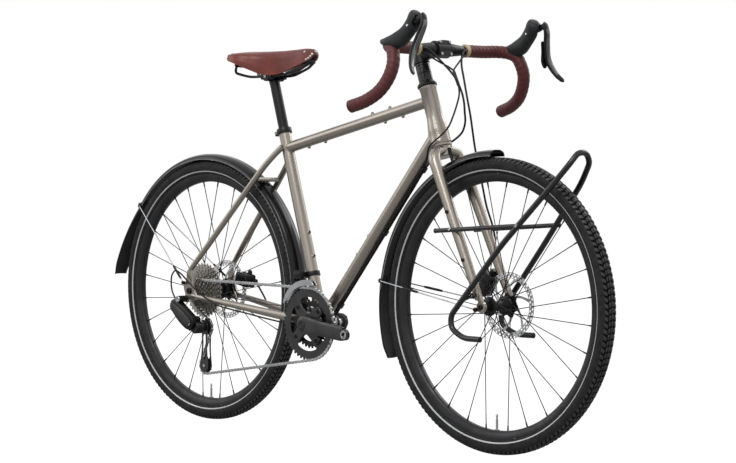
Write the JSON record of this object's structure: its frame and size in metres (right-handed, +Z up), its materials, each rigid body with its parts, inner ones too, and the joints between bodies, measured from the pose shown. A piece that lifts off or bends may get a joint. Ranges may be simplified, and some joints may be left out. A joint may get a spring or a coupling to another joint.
{
  "type": "touring bicycle",
  "caption": "Touring bicycle with drop bars, leather saddle, disc brakes, derailleurs, two mudguards and a front pannier rack.",
  "frame": {"origin": "bottom centre of the overall bounding box, on the floor under the middle of the bicycle's length", "axes": "+X forward, +Y to the rider's left, +Z up"},
  "size_m": [1.8318, 0.5594, 1.0532],
  "materials": {
    "paint": "metallic satin",
    "black_alloy": "black anodised satin",
    "grey_alloy": "dark grey satin",
    "steel": "brushed",
    "dark_steel": "satin",
    "black_plastic": "matte",
    "hood_rubber": "matte",
    "tyre": "matte",
    "leather": "polished leather",
    "tape": "matt leather"
  },
  "bodies": {
    "frame": {"head_tube": "paint", "top_tube": "paint", "down_tube": "paint", "seat_tube": "paint", "bottom_bracket_shell": "paint", "chainstay_right": "paint", "chainstay_left": "paint", "seatstays": "paint", "seat_collar": "black_alloy", "bottom_bracket_bearing": "black_alloy", "rear_thru_axle": "black_alloy", "rear_caliper": "black_alloy", "rear_mudguard": "black_plastic", "rear_mudguard_stay": "steel", "chain": "steel", "front_derailleur_body": "black_alloy", "derailleur_mounting_knuckle": "black_alloy", "rear_brake_hose": "black_plastic", "shift_cables": "black_plastic"},
    "steering": {"fork": "paint", "headset_spacers": "black_alloy", "stem": "black_alloy", "handlebar": "black_alloy", "bar_tape_right": "tape", "bar_tape_left": "tape", "brake_hood_right": "hood_rubber", "brake_hood_left": "hood_rubber", "front_mudguard": "black_plastic", "front_mudguard_stay": "steel", "front_rack": "black_alloy", "front_caliper": "black_alloy", "front_thru_axle": "black_alloy", "front_brake_hose": "black_plastic"},
    "front_wheel": {"front_tyre": "tyre", "front_rim": "black_alloy", "front_hub_and_spokes": "black_alloy", "front_rotor": "steel"},
    "rear_wheel": {"rear_tyre": "tyre", "rear_rim": "black_alloy", "rear_hub_and_spokes": "black_alloy", "rear_rotor": "steel"},
    "crank": {"crank_right": "grey_alloy", "crank_left": "grey_alloy", "chainring_outer": "grey_alloy", "chainring_inner": "grey_alloy"},
    "cassette": {"cassette": "dark_steel"},
    "outer_link": {"derailleur_outer_link": "grey_alloy"},
    "inner_link": {"derailleur_inner_link": "grey_alloy"},
    "lower_knuckle": {"derailleur_lower_knuckle": "black_alloy"},
    "cage": {"derailleur_cage": "black_alloy"},
    "guide_pulley": {"guide_pulley": "black_plastic"},
    "tension_pulley": {"tension_pulley": "black_plastic"},
    "front_derailleur_cage": {"front_derailleur_cage": "steel"},
    "brake_lever_right": {"brake_lever_right": "grey_alloy"},
    "brake_lever_left": {"brake_lever_left": "grey_alloy"},
    "shift_paddle_right": {"shift_paddle_right": "black_plastic"},
    "shift_paddle_left": {"shift_paddle_left": "black_plastic"},
    "seatpost": {"seatpost": "black_alloy", "saddle_rails": "dark_steel", "saddle_cover": "leather"}
  },
  "joints": [
    {"name": "steering", "type": "hinge", "parent": "frame", "child": "steering", "pos_m": [0.37656, 0, 0.74201], "axis": [-0.3173, 0, 0.9483], "range_deg": [-45, 45], "deforming": ["rear_brake_hose", "shift_cables"]},
    {"name": "front_wheel_spin", "type": "hinge", "parent": "steering", "child": "front_wheel", "pos_m": [0.56089, 0, 0.355], "axis": [0, 1, 0], "continuous": true},
    {"name": "rear_wheel_spin", "type": "hinge", "parent": "frame", "child": "rear_wheel", "pos_m": [-0.50111, 0, 0.355], "axis": [0, 1, 0], "continuous": true},
    {"name": "crank_spin", "type": "hinge", "parent": "frame", "child": "crank", "pos_m": [-0.05052, 0, 0.285], "axis": [0, 1, 0], "continuous": true, "deforming": ["chain"]},
    {"name": "cassette_spin", "type": "hinge", "parent": "frame", "child": "cassette", "pos_m": [-0.50111, 0, 0.355], "axis": [0, 1, 0], "continuous": true},
    {"name": "derailleur_swing", "type": "hinge", "parent": "frame", "child": "outer_link", "pos_m": [-0.53311, -0.099, 0.315], "axis": [0.5592, 0, 0.829], "range_deg": [-5, 22], "stiffness_Nm_per_rad": 2, "deforming": ["chain", "shift_cables"]},
    {"name": "inner_link_swing", "type": "hinge", "parent": "frame", "child": "inner_link", "pos_m": [-0.53311, -0.085, 0.315], "axis": [0.5592, 0, 0.829], "range_deg": [-5, 22]},
    {"name": "lower_knuckle_turn", "type": "hinge", "parent": "outer_link", "child": "lower_knuckle", "pos_m": [-0.46679, -0.099, 0.27026], "axis": [0.5592, 0, 0.829], "range_deg": [-22, 5]},
    {"name": "cage_swing", "type": "hinge", "parent": "lower_knuckle", "child": "cage", "pos_m": [-0.45411, -0.05484, 0.258], "axis": [0, 1, 0], "range_deg": [-10, 30], "stiffness_Nm_per_rad": 0.5, "deforming": ["chain"]},
    {"name": "guide_pulley_spin", "type": "hinge", "parent": "cage", "child": "guide_pulley", "pos_m": [-0.45411, -0.05484, 0.258], "axis": [0, 1, 0], "continuous": true},
    {"name": "tension_pulley_spin", "type": "hinge", "parent": "cage", "child": "tension_pulley", "pos_m": [-0.45778, -0.05484, 0.15306], "axis": [0, 1, 0], "continuous": true},
    {"name": "front_derailleur_swing", "type": "hinge", "parent": "frame", "child": "front_derailleur_cage", "pos_m": [-0.08811, -0.046, 0.425], "axis": [1, 0, 0], "range_deg": [0, 8], "stiffness_Nm_per_rad": 1, "deforming": ["chain", "shift_cables"]},
    {"name": "brake_lever_right_pull", "type": "hinge", "parent": "steering", "child": "brake_lever_right", "pos_m": [0.49999, -0.215, 1.0291], "axis": [0, 1, 0], "range_deg": [0, 16], "stiffness_Nm_per_rad": 2},
    {"name": "brake_lever_left_pull", "type": "hinge", "parent": "steering", "child": "brake_lever_left", "pos_m": [0.49999, 0.215, 1.0291], "axis": [0, 1, 0], "range_deg": [0, 16], "stiffness_Nm_per_rad": 2},
    {"name": "shift_paddle_right_push", "type": "hinge", "parent": "brake_lever_right", "child": "shift_paddle_right", "pos_m": [0.51399, -0.215, 0.9977], "axis": [1, 0, 0], "range_deg": [0, 14], "stiffness_Nm_per_rad": 0.5},
    {"name": "shift_paddle_left_push", "type": "hinge", "parent": "brake_lever_left", "child": "shift_paddle_left", "pos_m": [0.51399, 0.215, 0.9977], "axis": [-1, 0, 0], "range_deg": [0, 14], "stiffness_Nm_per_rad": 0.5},
    {"name": "seatpost_height", "type": "slide", "parent": "frame", "child": "seatpost", "axis": [-0.284, 0, 0.9588], "range_m": [-0.08, 0.04]}
  ],
  "couplings": [
    {"joint": "cassette_spin", "follows": "crank_spin", "ratio": 3.0667},
    {"joint": "guide_pulley_spin", "follows": "crank_spin", "ratio": -4.1818},
    {"joint": "tension_pulley_spin", "follows": "crank_spin", "ratio": 4.1818},
    {"joint": "inner_link_swing", "follows": "derailleur_swing", "ratio": 1},
    {"joint": "lower_knuckle_turn", "follows": "derailleur_swing", "ratio": -1}
  ]
}
